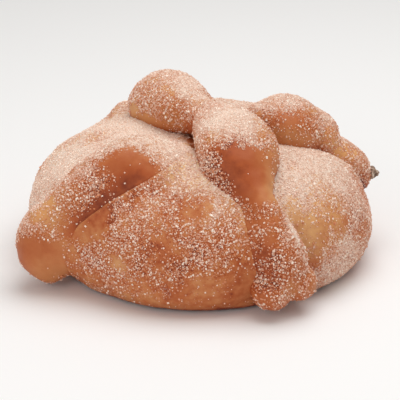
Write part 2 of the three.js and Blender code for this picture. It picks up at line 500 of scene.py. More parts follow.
def surface_nets(values: np.ndarray) -> tuple[np.ndarray, np.ndarray]:
    """The closed surface where a field crosses zero, with one vertex to a cell.

    Args:
        values: The field on a grid, above zero all round the edge.

    Returns:
        The vertices in grid steps, and the quads, facing out.
    """
    inside = values < 0
    cells = tuple(side - 1 for side in values.shape)
    corners, crossings = [], []
    for axis in range(3):
        first = np.take(inside, range(values.shape[axis] - 1), axis)
        second = np.take(inside, range(1, values.shape[axis]), axis)
        start = np.argwhere(first != second)
        end = start + np.eye(3, dtype=int)[axis]
        low, high = values[tuple(start.T)], values[tuple(end.T)]
        crossing = start.astype(float)
        crossing[:, axis] += low / (low - high)
        across, upwards = np.eye(3, dtype=int)[[(axis + 1) % 3, (axis + 2) % 3]]
        around = [start - across - upwards, start - upwards, start, start - across]
        around = np.stack([np.ravel_multi_index(cell.T, cells) for cell in around], axis=1)
        corners.append(np.where((low < 0)[:, None], around, around[:, ::-1]))
        crossings.append(np.repeat(crossing, 4, axis=0))
    quads = np.vstack(corners)
    used, index = np.unique(quads.ravel(), return_inverse=True)
    places = np.vstack(crossings)
    count = np.bincount(index)
    vertices = np.stack([np.bincount(index, places[:, axis]) / count for axis in range(3)], axis=1)
    return vertices, index.reshape(-1, 4)


def relaxed(vertices: np.ndarray, quads: np.ndarray, rounds: int, share: float) -> np.ndarray:
    """The vertices moved some share of the way to the mean of their neighbours, in rounds."""
    one = np.concatenate([quads[:, corner] for corner in range(4)])
    other = np.concatenate([quads[:, (corner + 1) % 4] for corner in range(4)])
    ends, starts = np.concatenate([one, other]), np.concatenate([other, one])
    count = np.bincount(ends, minlength=len(vertices))
    for _ in range(rounds):
        mean = np.stack([np.bincount(ends, vertices[starts, axis], len(vertices)) / count
                         for axis in range(3)], axis=1)
        vertices = vertices + share * (mean - vertices)
    return vertices


def mesh_object(name: str, vertices: np.ndarray, faces: np.ndarray) -> bpy.types.Object:
    """A smooth-shaded mesh object at the origin.

    Args:
        name: The piece's name.
        vertices: Places in mm, one a row.
        faces: Corner numbers, one face a row.

    Returns:
        The object, linked to the scene.
    """
    mesh = bpy.data.meshes.new(name)
    sides = faces.shape[1]
    mesh.vertices.add(len(vertices))
    mesh.vertices.foreach_set("co", (vertices * MILLIMETRE).astype(np.float32).ravel())
    mesh.loops.add(faces.size)
    mesh.loops.foreach_set("vertex_index", faces.astype(np.int32).ravel())
    mesh.polygons.add(len(faces))
    mesh.polygons.foreach_set("loop_start", np.arange(0, faces.size, sides, dtype=np.int32))
    mesh.polygons.foreach_set("use_smooth", np.ones(len(faces), bool))
    mesh.update(calc_edges=True)
    mesh.validate()
    return add_object(name, mesh)


def add_attribute(piece: bpy.types.Object, name: str, values: np.ndarray) -> None:
    """Stores one number for each vertex under a name."""
    attribute = piece.data.attributes.new(name, "FLOAT", "POINT")
    attribute.data.foreach_set("value", values.astype(np.float32))


# ---- shader helpers and shared groups ----


def set_inputs(node: bpy.types.Node, values: dict[str, object]) -> None:
    """Sets unlinked inputs of a node by name."""
    for name, value in values.items():
        node.inputs[name].default_value = value


def identified(sockets: bpy.types.bpy_prop_collection, identifier: str) -> Socket:
    """The socket with an identifier, for nodes whose sockets share a name."""
    return next(socket for socket in sockets if socket.identifier == identifier)


def colour(red: float, green: float, blue: float) -> Colour:
    """A colour from its screen values of 0 to 255, as linear light."""
    def linear(value: float) -> float:
        """One channel as linear light."""
        share = value / 255
        return share / 12.92 if share <= 0.04045 else ((share + 0.055) / 1.055) ** 2.4
    return linear(red), linear(green), linear(blue), 1.0


@dataclass
class Wiring:
    """Adds nodes to a tree and joins them."""

    tree: bpy.types.NodeTree

    def node(self, kind: str, **settings: object) -> bpy.types.Node:
        """A new node of a kind, with its settings."""
        made = self.tree.nodes.new(kind)
        for name, value in settings.items():
            setattr(made, name, value)
        return made

    def join(self, source: Socket, target: Socket) -> None:
        """Joins two sockets."""
        self.tree.links.new(source, target)

    def attribute(self, name: str) -> Socket:
        """A named attribute of the mesh in a shader, as one number."""
        return self.node("ShaderNodeAttribute", attribute_name=name).outputs["Fac"]

    def stored(self, name: str) -> Socket:
        """A named attribute of the mesh in Geometry Nodes, as one number."""
        made = self.node("GeometryNodeInputNamedAttribute", data_type="FLOAT")
        made.inputs["Name"].default_value = name
        return made.outputs["Attribute"]

    def noise(self, place: Socket, size: float, detail: float = 2.0) -> Socket:
        """Noise with features of a size in mm."""
        made = self.node("ShaderNodeTexNoise")
        set_inputs(made, {"Scale": 1 / (size * MILLIMETRE), "Detail": detail})
        self.join(place, made.inputs["Vector"])
        return made.outputs["Fac"]

    def math(self, operation: str, first: object, second: object, clamp: bool = False) -> Socket:
        """A sum or other working of two sockets or numbers."""
        made = self.node("ShaderNodeMath", operation=operation, use_clamp=clamp)
        for index, value in enumerate((first, second)):
            if isinstance(value, Socket):
                self.join(value, made.inputs[index])
            else:
                made.inputs[index].default_value = value
        return made.outputs[0]

    def rise(self, value: Socket, low: float, high: float) -> Socket:
        """A smooth rise from 0 at low to 1 at high."""
        made = self.node("ShaderNodeMapRange", interpolation_type="SMOOTHSTEP")
        set_inputs(made, {"From Min": low, "From Max": high})
        self.join(value, made.inputs["Value"])
        return made.outputs["Result"]

    def blend(self, share: Socket, first: object, second: object) -> Socket:
        """Two colours mixed by a share."""
        made = self.node("ShaderNodeMix", data_type="RGBA")
        self.join(share, made.inputs[0])
        for name, value in (("A_Color", first), ("B_Color", second)):
            socket = identified(made.inputs, name)
            if isinstance(value, Socket):
                self.join(value, socket)
            else:
                socket.default_value = value
        return identified(made.outputs, "Result_Color")

    def ramp(self, value: Socket, stops: Stops) -> Socket:
        """A colour ramp through stops of place and colour."""
        made = self.node("ShaderNodeValToRGB")
        elements = made.color_ramp.elements
        while len(elements) < len(stops):
            elements.new(1.0)
        for element, (place, shade) in zip(elements, stops):
            element.position = place
            element.color = shade
        self.join(value, made.inputs["Fac"])
        return made.outputs["Color"]

    def bump(self, height: Socket, strength: float, depth: float) -> Socket:
        """The normal of a surface with relief of a depth in mm."""
        made = self.node("ShaderNodeBump")
        set_inputs(made, {"Strength": strength, "Distance": depth * MILLIMETRE})
        self.join(height, made.inputs["Height"])
        return made.outputs["Normal"]


def shader_group(name: str, takes: dict[str, str], gives: dict[str, str]) -> Wiring:
    """A new shader node group.

    Args:
        name: The group's name.
        takes: The kind of each input by name.
        gives: The kind of each output by name.

    Returns:
        The wiring of the group's tree.
    """
    group = bpy.data.node_groups.new(name, "ShaderNodeTree")
    for in_out, sockets in (("INPUT", takes), ("OUTPUT", gives)):
        for socket, kind in sockets.items():
            group.interface.new_socket(socket, in_out=in_out, socket_type=f"NodeSocket{kind}")
    return Wiring(group)


def new_material(name: str) -> tuple[bpy.types.Material, Wiring, bpy.types.Node]:
    """A new material, its wiring and its Principled shader."""
    made = bpy.data.materials.new(name)
    made.use_nodes = True
    return made, Wiring(made.node_tree), made.node_tree.nodes["Principled BSDF"]


@dataclass(frozen=True)
class Bake:
    """The colours of baked dough, from pale to burnt brown."""

    stops: Stops = (
        (0.0, colour(238, 192, 134)),
        (0.25, colour(220, 162, 106)),
        (0.5, colour(202, 138, 88)),
        (0.72, colour(186, 108, 62)),
        (0.88, colour(169, 82, 40)),
        (1.0, colour(122, 48, 22)),
    )
    pale: Colour = colour(234, 198, 144)
    sugar_film: Colour = colour(239, 218, 203)
    broad_size: float = 7.0
    fine_size: float = 2.2
    wrinkle_size: float = 3.0
    pore_size: float = 0.7
    pore_share: float = 0.25


@dataclass(frozen=True)
class Film:
    """The finest sugar: cells that are covered or not, each layer with a size in mm and a softness."""

    layers: Pairs = ((0.62, 0.16), (0.36, 0.08))
    patch_size: float = 3.0
    patch_least: float = 0.6
    # Painted shade between the sugar grains: where its dark specks start and where they are full.
    painted_grain_shade: Pair = (-0.1, 0.3)


def bake_group(bake: Bake) -> bpy.types.NodeTree:
    """The shared crust effect: how far it is baked, with painted shade added in, gives its colour, broken up
    by noise.

    Args:
        bake: The colours.

    Returns:
        The node group.
    """
    wiring = shader_group("baked_dough",
                          {"Place": "Vector", "Toast_and_shade": "Float", "Pale": "Float", "Unevenness": "Float"},
                          {"Colour": "Color", "Wrinkles": "Float"})
    inputs = wiring.node("NodeGroupInput").outputs
    outputs = wiring.node("NodeGroupOutput").inputs
    broad = wiring.noise(inputs["Place"], bake.broad_size, 3.0)
    fine = wiring.noise(inputs["Place"], bake.fine_size, 3.0)
    change = wiring.math("ADD", wiring.math("SUBTRACT", broad, 0.5), wiring.math("SUBTRACT", fine, 0.5))
    toast_and_shade = wiring.math("ADD", inputs["Toast_and_shade"], wiring.math("MULTIPLY", change, inputs["Unevenness"]), True)
    baked = wiring.ramp(toast_and_shade, bake.stops)
    wiring.join(wiring.blend(inputs["Pale"], baked, bake.pale), outputs["Colour"])
    pores = wiring.math("MULTIPLY", wiring.noise(inputs["Place"], bake.pore_size), bake.pore_share)
    wrinkles = wiring.math("ADD", wiring.noise(inputs["Place"], bake.wrinkle_size, 4.0), pores)
    wiring.join(wrinkles, outputs["Wrinkles"])
    return wiring.tree


def sugar_film_group(film: Film) -> bpy.types.NodeTree:
    """The shared effect of the finest sugar: how much covers a place, its height, and painted shade between
    the sugar grains as dark specks where sugar lies thick.

    Args:
        film: The sizes and shares of its layers.

    Returns:
        The node group.
    """
    wiring = shader_group("sugar_film", {"Place": "Vector", "Frost": "Float", "Sugar": "Float"},
                          {"Film": "Float", "Grain": "Float", "Painted_grain_shade": "Float"})
    inputs = wiring.node("NodeGroupInput").outputs
    outputs = wiring.node("NodeGroupOutput").inputs
    patch = wiring.math("ADD", wiring.noise(inputs["Place"], film.patch_size, 3.0), film.patch_least)
    cover = wiring.math("MULTIPLY", inputs["Frost"], patch)
    layers = []
    for size, softness in film.layers:
        cells = wiring.node("ShaderNodeTexVoronoi")
        set_inputs(cells, {"Scale": 1 / (size * MILLIMETRE)})
        wiring.join(inputs["Place"], cells.inputs["Vector"])
        chance = wiring.node("ShaderNodeSeparateColor")
        wiring.join(cells.outputs["Color"], chance.inputs["Color"])
        spare = wiring.math("SUBTRACT", cover, chance.outputs["Red"])
        layers.append(wiring.rise(spare, 0.0, 2 * softness))
    height = wiring.math("MULTIPLY", wiring.math("SUBTRACT", 1.0, cells.outputs["Distance"]), layers[-1])
    # Painted shade: dark specks between the sugar grains where sugar lies thick.
    grain_shade = wiring.rise(wiring.math("SUBTRACT", inputs["Sugar"], chance.outputs["Green"]), *film.painted_grain_shade)
    wiring.join(wiring.math("MULTIPLY", wiring.math("ADD", layers[0], layers[1]), 0.5), outputs["Film"])
    wiring.join(height, outputs["Grain"])
    wiring.join(grain_shade, outputs["Painted_grain_shade"])
    return wiring.tree


@dataclass(frozen=True)
class CrustFinish:
    """The finish of a baked crust with sugar on it."""

    name: str
    unevenness: float
    film_strength: float
    # How much the painted shade between the sugar grains darkens the crust.
    grain_shade: float = 0.16
    bare_roughness: float = 0.5
    sugared_roughness: float = 0.85
    specular: float = 0.22
    wrinkle_share: float = 0.5
    relief_strength: float = 0.5
    relief_depth: float = 0.25

    def material(self, bake: Bake, groups: dict[str, bpy.types.NodeTree]) -> bpy.types.Material:
        """Builds the material.

        Args:
            bake: The colours of the dough and of the sugar film.
            groups: The shared effects by name.

        Returns:
            The material.
        """
        made, wiring, shader = new_material(self.name)
        place = wiring.node("ShaderNodeTexCoord").outputs["Object"]
        dough = wiring.node("ShaderNodeGroup", node_tree=groups["bake"])
        dough.inputs["Unevenness"].default_value = self.unevenness
        film = wiring.node("ShaderNodeGroup", node_tree=groups["film"])
        for group in (dough, film):
            wiring.join(place, group.inputs["Place"])
        # Painted shade between the sugar grains, added to the toast.
        painted_grain_shade = wiring.math("MULTIPLY", film.outputs["Painted_grain_shade"], self.grain_shade)
        wiring.join(wiring.math("ADD", wiring.attribute("toast_and_shade"), painted_grain_shade), dough.inputs["Toast_and_shade"])
        wiring.join(wiring.attribute("pale"), dough.inputs["Pale"])
        wiring.join(wiring.attribute("frost"), film.inputs["Frost"])
        wiring.join(wiring.attribute("sugar"), film.inputs["Sugar"])
        strength = wiring.math("MULTIPLY", film.outputs["Film"], self.film_strength)
        shade = wiring.blend(strength, dough.outputs["Colour"], bake.sugar_film)
        wiring.join(shade, shader.inputs["Base Color"])
        rough = wiring.math("MULTIPLY", film.outputs["Film"], self.sugared_roughness - self.bare_roughness)
        wiring.join(wiring.math("ADD", rough, self.bare_roughness), shader.inputs["Roughness"])
        wrinkles = wiring.math("MULTIPLY", dough.outputs["Wrinkles"], self.wrinkle_share)
        height = wiring.math("ADD", wrinkles, film.outputs["Grain"])
        normal = wiring.bump(height, self.relief_strength, self.relief_depth)
        wiring.join(normal, shader.inputs["Normal"])
        shader.inputs["Specular IOR Level"].default_value = self.specular
        return made


@dataclass(frozen=True)
class SugarFinish:
    """The finish of loose sugar crystals, each with a tint of its own."""

    name: str
    dull: Colour
    bright: Colour
    roughness: float = 0.35

    def material(self) -> bpy.types.Material:
        """Builds the material."""
        made, wiring, shader = new_material(self.name)
        shade = wiring.blend(wiring.attribute("tint"), self.dull, self.bright)
        wiring.join(shade, shader.inputs["Base Color"])
        shader.inputs["Roughness"].default_value = self.roughness
        return made


@dataclass(frozen=True)
class BurntFinish:
    """The finish of the scrap of burnt dough, patchy, rough and pitted."""

    name: str = "burnt_dough"
    stops: Stops = (
        (0.35, colour(110, 86, 72)),
        (0.5, colour(176, 148, 128)),
        (0.66, colour(228, 212, 196)),
    )
    blotch_size: float = 1.6
    pit_size: float = 0.8
    pit_depth: float = 0.4
    pit_strength: float = 0.7
    roughness: float = 0.8

    def material(self) -> bpy.types.Material:
        """Builds the material."""
        made, wiring, shader = new_material(self.name)
        place = wiring.node("ShaderNodeTexCoord").outputs["Object"]
        shade = wiring.ramp(wiring.noise(place, self.blotch_size, 4.0), self.stops)
        wiring.join(shade, shader.inputs["Base Color"])
        shader.inputs["Roughness"].default_value = self.roughness
        pits = wiring.noise(place, self.pit_size, 3.0)
        wiring.join(wiring.bump(pits, self.pit_strength, self.pit_depth), shader.inputs["Normal"])
        return made


# ---- the crusts ----


@dataclass(frozen=True)
class Patch:
    """A marked place on the crust: what it does, where, how large and how strong.

    On a strip the angles are over the dome and round the section; on the loaf they are the
    heading and over the dome. The stretch makes it longer along the strip, or down the dome.
    """

    mark: Mark
    first_angle: float
    second_angle: float
    reach: float
    strength: float = 1.0
    stretch: float = 1.0


def patches(*rows: tuple) -> tuple[Patch, ...]:
    """The patches of a crust from their values, in the order in which they are laid on."""
    return tuple(Patch(*row) for row in rows)


@dataclass(frozen=True)
class Baking:
    """How toasted and frosted a crust is by the way it faces, before its patches; crease is the darker toast
    in the creases away from the top, partly the redder crust there and partly painted shade.
    """

    top: float
    side: float
    under: float
    crease: float
    frost: Pair


@dataclass(frozen=True)
class Rules:
    """How baking and sugar fall on every crust, with sizes and heights in mm.

    A pair named for a side, edge or height gives where a value starts to rise and where it is full.
    """

    upper_side: Pair = (0.25, 0.9)
    under_side: Pair = (0.15, -0.6)
    hidden_edge: Pair = (0.5, -0.3)
    crease_reach: float = 2.2
    lump_size: float = 13.0
    lump_toast_and_shade: float = 0.18
    # Darker crust along the base: partly crust browned where it stood, partly painted contact shade.
    base_toast_and_shade: float = 0.35
    base_height: Pair = (2.6, 0.6)
    crease_pale: float = 0.45
    pale_side: Pair = (0.3, 0.8)
    clump_layers: Pairs = ((9.0, 0.45), (3.6, 0.35), (1.8, 0.2))
    clump_edge: Pair = (0.32, 0.68)
    side_cover: float = 0.35
    cover_side: Pair = (-0.2, 0.6)
    low_cover: float = 0.5
    cover_height: Pair = (3.0, 20.0)
    thin_cover: float = 0.22
    clump_cover: float = 1.1
    crease_frost: float = 0.4
    clump_frost: float = 0.4
    most_frost: float = 0.95
    smooth_frost: float = 1.4
    sugar_height: Pair = (1.5, 4.0)
    toasted: float = 0.86
    cracked: float = 0.9
    ragged_layers: Pairs = ((4.5, 0.7), (1.8, 0.4))
    baked_raggedness: float = 0.35
    patch_edge: Pair = (1.35, 0.55)


@dataclass
class Crust:
    """One closed crust: its mesh, and how toasted, pale and sugared it is from place to place, with painted
    shade in its toast.
    """

    node: Node
    name: str
    slot: Slot
    dough: Dough
    lumps: Lumps
    patches: tuple[Patch, ...]
    baking: Baking
    pitch: float
    rules: Rules = Rules()
    relax_rounds: int = 3
    relax_share: float = 0.5
    waves: Pairs = ((18.0, 0.55), (6.5, 0.3), (2.6, 0.14))
    wave_height: Pair = (0.0, 2.5)
    margin: float = 3.0
    least_square: float = 0.05
    piece: bpy.types.Object = field(init=False)

    def grid(self) -> Grid:
        """The grid that holds this piece, from its node's box."""
        low, high = (np.array(corner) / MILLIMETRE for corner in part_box(self.node.value))
        return Grid(low - self.margin, high + self.margin, self.pitch)

    def build(self) -> bpy.types.Object:
        """Meshes the piece and stores its attributes."""
        grid = self.grid()
        own, union = self.dough.fields(grid)
        values = self.dough.piece_field(own, union, self.node)
        vertices, quads = surface_nets(values)
        vertices = grid.low + vertices * grid.pitch
        slope = np.stack(np.gradient(values, grid.pitch), axis=-1).astype(np.float32)
        for _ in range(self.relax_rounds):
            vertices = relaxed(vertices, quads, 1, self.relax_share)
            steepest = grid.sample(slope, vertices)
            square = np.maximum((steepest**2).sum(1), self.least_square)
            vertices = vertices - steepest * (grid.sample(values, vertices) / square)[:, None]
        normals = unit(grid.sample(slope, vertices))
        distances = {node: grid.sample(distance, vertices) for node, distance in own.items()}
        swell = sum(height * (self.lumps.at(vertices, size) - 0.5) * 2 for size, height in self.waves)
        above_base = smooth_step(*self.wave_height, vertices[:, 2])
        moved = vertices + normals * (swell * above_base)[:, None]
        moved[:, 2] = np.maximum(moved[:, 2], 0)
        self.piece = mesh_object(self.name, moved, quads)
        for name, value in self.looks(vertices, normals, distances).items():
            add_attribute(self.piece, name, value)
        return self.piece

    def patch_weight(self, patch: Patch, vertices: np.ndarray) -> np.ndarray:
        """How much of a patch is at each vertex, flat in its middle and soft at its edge."""
        if self.node is Node.LOAF:
            dome = self.dough.dome
            middle = dome.point(patch.first_angle, patch.second_angle)
            along = unit(dome.point(patch.first_angle, patch.second_angle + 2) - middle)
        else:
            strip = self.dough.lower if self.node is Node.LOWER_STRIP else self.dough.upper
            middle, along = strip.skin(patch.first_angle, patch.second_angle)
        offset = vertices - middle
        lengthwise = offset @ along
        square = (offset**2).sum(1) - lengthwise**2 + (lengthwise / patch.stretch) ** 2
        ragged = self.lumps.mixed(vertices, self.rules.ragged_layers, 0.5)
        if patch.mark in BAKED_MARKS:
            ragged = ragged * self.rules.baked_raggedness
        return patch.strength * smooth_step(*self.rules.patch_edge, np.sqrt(square) / patch.reach + ragged)

    def looks(self, vertices: np.ndarray, normals: np.ndarray,
              distances: dict[Node, np.ndarray]) -> dict[str, np.ndarray]:
        """The attributes toast_and_shade, pale, sugar and frost; toast_and_shade is the baked colour with
        painted shade in the creases and along the base.

        Args:
            vertices: Places on the piece, in mm.
            normals: The unit normals there.
            distances: The distance of each piece there.

        Returns:
            The values by name, each from 0 to 1, and frost up to its smooth value.
        """
        rules, baking = self.rules, self.baking
        facing_up = normals[:, 2]
        height = vertices[:, 2]
        others = np.minimum.reduce([value for node, value in distances.items() if node is not self.node])
        crease = np.exp(-(np.maximum(others, 0) / rules.crease_reach) ** 2)
        hidden = smooth_step(*rules.hidden_edge, others - distances[self.node])
        upper_side = smooth_step(*rules.upper_side, facing_up)
        under_side = smooth_step(*rules.under_side, facing_up)
        toast_and_shade = baking.side + (baking.top - baking.side) * upper_side
        toast_and_shade = toast_and_shade + (baking.under - baking.side) * under_side
        # Painted shade in the creases away from the top, with the redder baked crust there.
        toast_and_shade = toast_and_shade + baking.crease * crease * (1 - upper_side)
        toast_and_shade = toast_and_shade + rules.lump_toast_and_shade * (self.lumps.at(vertices, rules.lump_size) - 0.5)
        # Painted contact shade along the base, with the darker crust that baked there.
        toast_and_shade = toast_and_shade + rules.base_toast_and_shade * smooth_step(*rules.base_height, height)
        pale = rules.crease_pale * crease * smooth_step(*rules.pale_side, facing_up)
        clumps = smooth_step(*rules.clump_edge, self.lumps.mixed(vertices, rules.clump_layers))
        side_cover = rules.side_cover + (1 - rules.side_cover) * smooth_step(*rules.cover_side, facing_up)
        low_cover = rules.low_cover + (1 - rules.low_cover) * smooth_step(*rules.cover_height, height)
        cover = side_cover * low_cover * (rules.thin_cover + rules.clump_cover * clumps)
        frost = smooth_step(*baking.frost, facing_up) + rules.crease_frost * crease * upper_side
        frost = np.minimum(frost + rules.clump_frost * (clumps - 0.5), rules.most_frost)
        for patch in self.patches:
            weight = self.patch_weight(patch, vertices)
            if patch.mark is Mark.TOASTED:
                toast_and_shade = toast_and_shade + (rules.toasted - toast_and_shade) * weight
            elif patch.mark is Mark.BROWNED:
                toast_and_shade = toast_and_shade + (1 - toast_and_shade) * weight
            elif patch.mark is Mark.LIGHT:
                toast_and_shade = toast_and_shade * (1 - weight)
            elif patch.mark is Mark.PALE:
                pale = pale + (1 - pale) * weight
            elif patch.mark is Mark.BARE:
                cover = cover * (1 - weight) ** 2
                frost = frost * (1 - weight)
            elif patch.mark is Mark.CLEAR:
                frost = frost * (1 - weight)
            elif patch.mark is Mark.GRAINY:
                cover = cover * (1 + weight)
            elif patch.mark is Mark.SUGARED:
                cover = cover + (1 - cover) * weight
            else:
                frost = frost + (rules.smooth_frost - frost) * weight
        for crack in self.dough.cracks:
            near = crack.nearness(self.dough.dome, vertices, 2 * crack.width)
            toast_and_shade = toast_and_shade + (rules.cracked - toast_and_shade) * near
            cover, frost, pale = (value * (1 - near) for value in (cover, frost, pale))
        cover = cover * (1 - hidden) * smooth_step(*rules.sugar_height, height)
        values = {"toast_and_shade": toast_and_shade, "pale": pale, "sugar": cover}
        looks = {name: np.clip(value, 0, 1) for name, value in values.items()}
        return looks | {"frost": np.clip(frost, 0, rules.smooth_frost)}

    def dress(self, material: bpy.types.Material) -> None:
        """Gives the piece its material and its place in the part."""
        self.piece.data.materials.append(material)
        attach(self.piece, BODY)
        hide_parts(self.node.value)


# ---- loose sugar ----


@dataclass(frozen=True)
class Grains:
    """One kind of sugar crystal: its shape, sizes in mm and number to a square centimetre."""

    name: str
    crystal: Crystal
    least: float
    most: float
    density: float
    bias: float
    seed: int


class SugarScatter:
    """The Geometry Nodes tree that scatters crystals over a crust by its sugar attribute."""

    SIZES = ("Least size", "Most size", "Density", "Bias")
    BLOCK_SIDES = (1.0, 0.9, 0.75)
    CHIP = {"Segments": 4, "Rings": 2, "Radius": 0.6}
    FROSTED_TINT = 0.55
    TINT_POWER = 2.0

    def __init__(self, crystal: Crystal) -> None:
        """Builds the tree for one shape of crystal."""
        self.tree = bpy.data.node_groups.new(f"scatter_{crystal.value}", "GeometryNodeTree")
        self.sockets: dict[str, str] = {}
        self.add_input("Crust", "NodeSocketGeometry")
        for name in self.SIZES:
            self.add_input(name, "NodeSocketFloat")
        self.add_input("Seed", "NodeSocketInt")
        self.add_input("Material", "NodeSocketMaterial")
        self.tree.interface.new_socket("Sugar", in_out="OUTPUT", socket_type="NodeSocketGeometry")
        self.wire(crystal)

    def add_input(self, name: str, kind: str) -> None:
        """Adds a named input and keeps its identifier."""
        self.sockets[name] = self.tree.interface.new_socket(name, in_out="INPUT", socket_type=kind).identifier

    def chance(self, wiring: Wiring, seed: Socket, step: int) -> bpy.types.Node:
        """A node that draws one number for each crystal, with a seed some steps on."""
        made = wiring.node("FunctionNodeRandomValue", data_type="FLOAT")
        wiring.join(wiring.math("ADD", seed, step), made.inputs["Seed"])
        return made

    def wire(self, crystal: Crystal) -> None:
        """Adds the nodes: points by density, a turned and scaled crystal on each, one tint each."""
        wiring = Wiring(self.tree)
        inputs = wiring.node("NodeGroupInput").outputs
        power = wiring.math("POWER", wiring.stored("sugar"), inputs["Bias"])
        points = wiring.node("GeometryNodeDistributePointsOnFaces", distribute_method="RANDOM")
        wiring.join(inputs["Crust"], points.inputs["Mesh"])
        wiring.join(wiring.math("MULTIPLY", power, inputs["Density"]), points.inputs["Density"])
        wiring.join(inputs["Seed"], points.inputs["Seed"])
        if crystal is Crystal.BLOCK:
            shape = wiring.node("GeometryNodeMeshCube")
            set_inputs(shape, {"Size": self.BLOCK_SIDES})
        else:
            shape = wiring.node("GeometryNodeMeshUVSphere")
            set_inputs(shape, self.CHIP)
        turn = wiring.node("FunctionNodeRandomValue", data_type="FLOAT_VECTOR")
        set_inputs(turn, {"Max": (math.tau, math.tau, math.tau)})
        wiring.join(inputs["Seed"], turn.inputs["Seed"])
        size = self.chance(wiring, inputs["Seed"], 1)
        wiring.join(inputs["Least size"], identified(size.inputs, "Min_001"))
        wiring.join(inputs["Most size"], identified(size.inputs, "Max_001"))
        placed = wiring.node("GeometryNodeInstanceOnPoints")
        wiring.join(points.outputs["Points"], placed.inputs["Points"])
        wiring.join(shape.outputs["Mesh"], placed.inputs["Instance"])
        wiring.join(turn.outputs["Value"], placed.inputs["Rotation"])
        wiring.join(identified(size.outputs, "Value_001"), placed.inputs["Scale"])
        drawn = identified(self.chance(wiring, inputs["Seed"], 2).outputs, "Value_001")
        least_tint = wiring.math("MULTIPLY", wiring.stored("frost"), self.FROSTED_TINT)
        spread = wiring.math("MULTIPLY", wiring.math("POWER", drawn, self.TINT_POWER),
                             wiring.math("SUBTRACT", 1.0, least_tint))
        store = wiring.node("GeometryNodeStoreNamedAttribute", data_type="FLOAT", domain="INSTANCE")
        set_inputs(store, {"Name": "tint"})
        wiring.join(placed.outputs["Instances"], store.inputs["Geometry"])
        wiring.join(wiring.math("ADD", least_tint, spread), store.inputs["Value"])
        real = wiring.node("GeometryNodeRealizeInstances")
        wiring.join(store.outputs["Geometry"], real.inputs["Geometry"])
        finish = wiring.node("GeometryNodeSetMaterial")
        wiring.join(real.outputs["Geometry"], finish.inputs["Geometry"])
        wiring.join(inputs["Material"], finish.inputs["Material"])
        wiring.join(finish.outputs["Geometry"], wiring.node("NodeGroupOutput").inputs["Sugar"])

    def scatter(self, crust: bpy.types.Object, name: str, grains: Grains, seed: int,
                material: bpy.types.Material) -> bpy.types.Object:
        """Scatters one kind of crystal over a crust.

        Args:
            crust: The crust with its sugar attribute.
            name: The new piece's name.
            grains: The kind of crystal.
            seed: The seed of every random draw.
            material: The crystals' material.

        Returns:
            A plain mesh object at the origin.
        """
        carrier = add_object("carrier", crust.data)
        modifier = carrier.modifiers.new("scatter", "NODES")
        modifier.node_group = self.tree
        values = {"Least size": grains.least * MILLIMETRE, "Most size": grains.most * MILLIMETRE,
                  "Density": grains.density * SQUARE_CENTIMETRES, "Bias": grains.bias,
                  "Seed": seed, "Material": material}
        for key, value in values.items():
            modifier[self.sockets[key]] = value
        ready = bpy.context.evaluated_depsgraph_get()
        mesh = bpy.data.meshes.new_from_object(carrier.evaluated_get(ready))
        carrier.modifiers.remove(modifier)
        bpy.data.objects.remove(carrier)
        mesh.name = name
        return add_object(name, mesh)


@dataclass
class SugarCoat:
    """The loose sugar on one or more crusts, one piece for each kind of crystal."""

    name: str
    crusts: tuple[Crust, ...]
    kinds: tuple[Grains, ...]
    seed_step: int = 10

    def build(self, scatters: dict[Crystal, SugarScatter],
              finish: bpy.types.Material) -> list[bpy.types.Object]:
        """Scatters every kind over every crust and joins each kind to one piece.

        Args:
            scatters: The tree for each shape of crystal.
            finish: The crystals' material.

        Returns:
            The pieces.
        """
        made = []
        for grains in self.kinds:
            name = f"{self.name}_{grains.name}"
            scatter = scatters[grains.crystal]
            parts = [scatter.scatter(crust.piece, name, grains, grains.seed + self.seed_step * index, finish)
                     for index, crust in enumerate(self.crusts)]
            if len(parts) > 1:
                with bpy.context.temp_override(active_object=parts[0], selected_editable_objects=parts):
                    bpy.ops.object.join()
            piece = parts[0]
            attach(piece, BODY)
            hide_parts(*[crust.node.value for crust in self.crusts])
            made.append(piece)
        return made


# ---- the burnt scrap ----


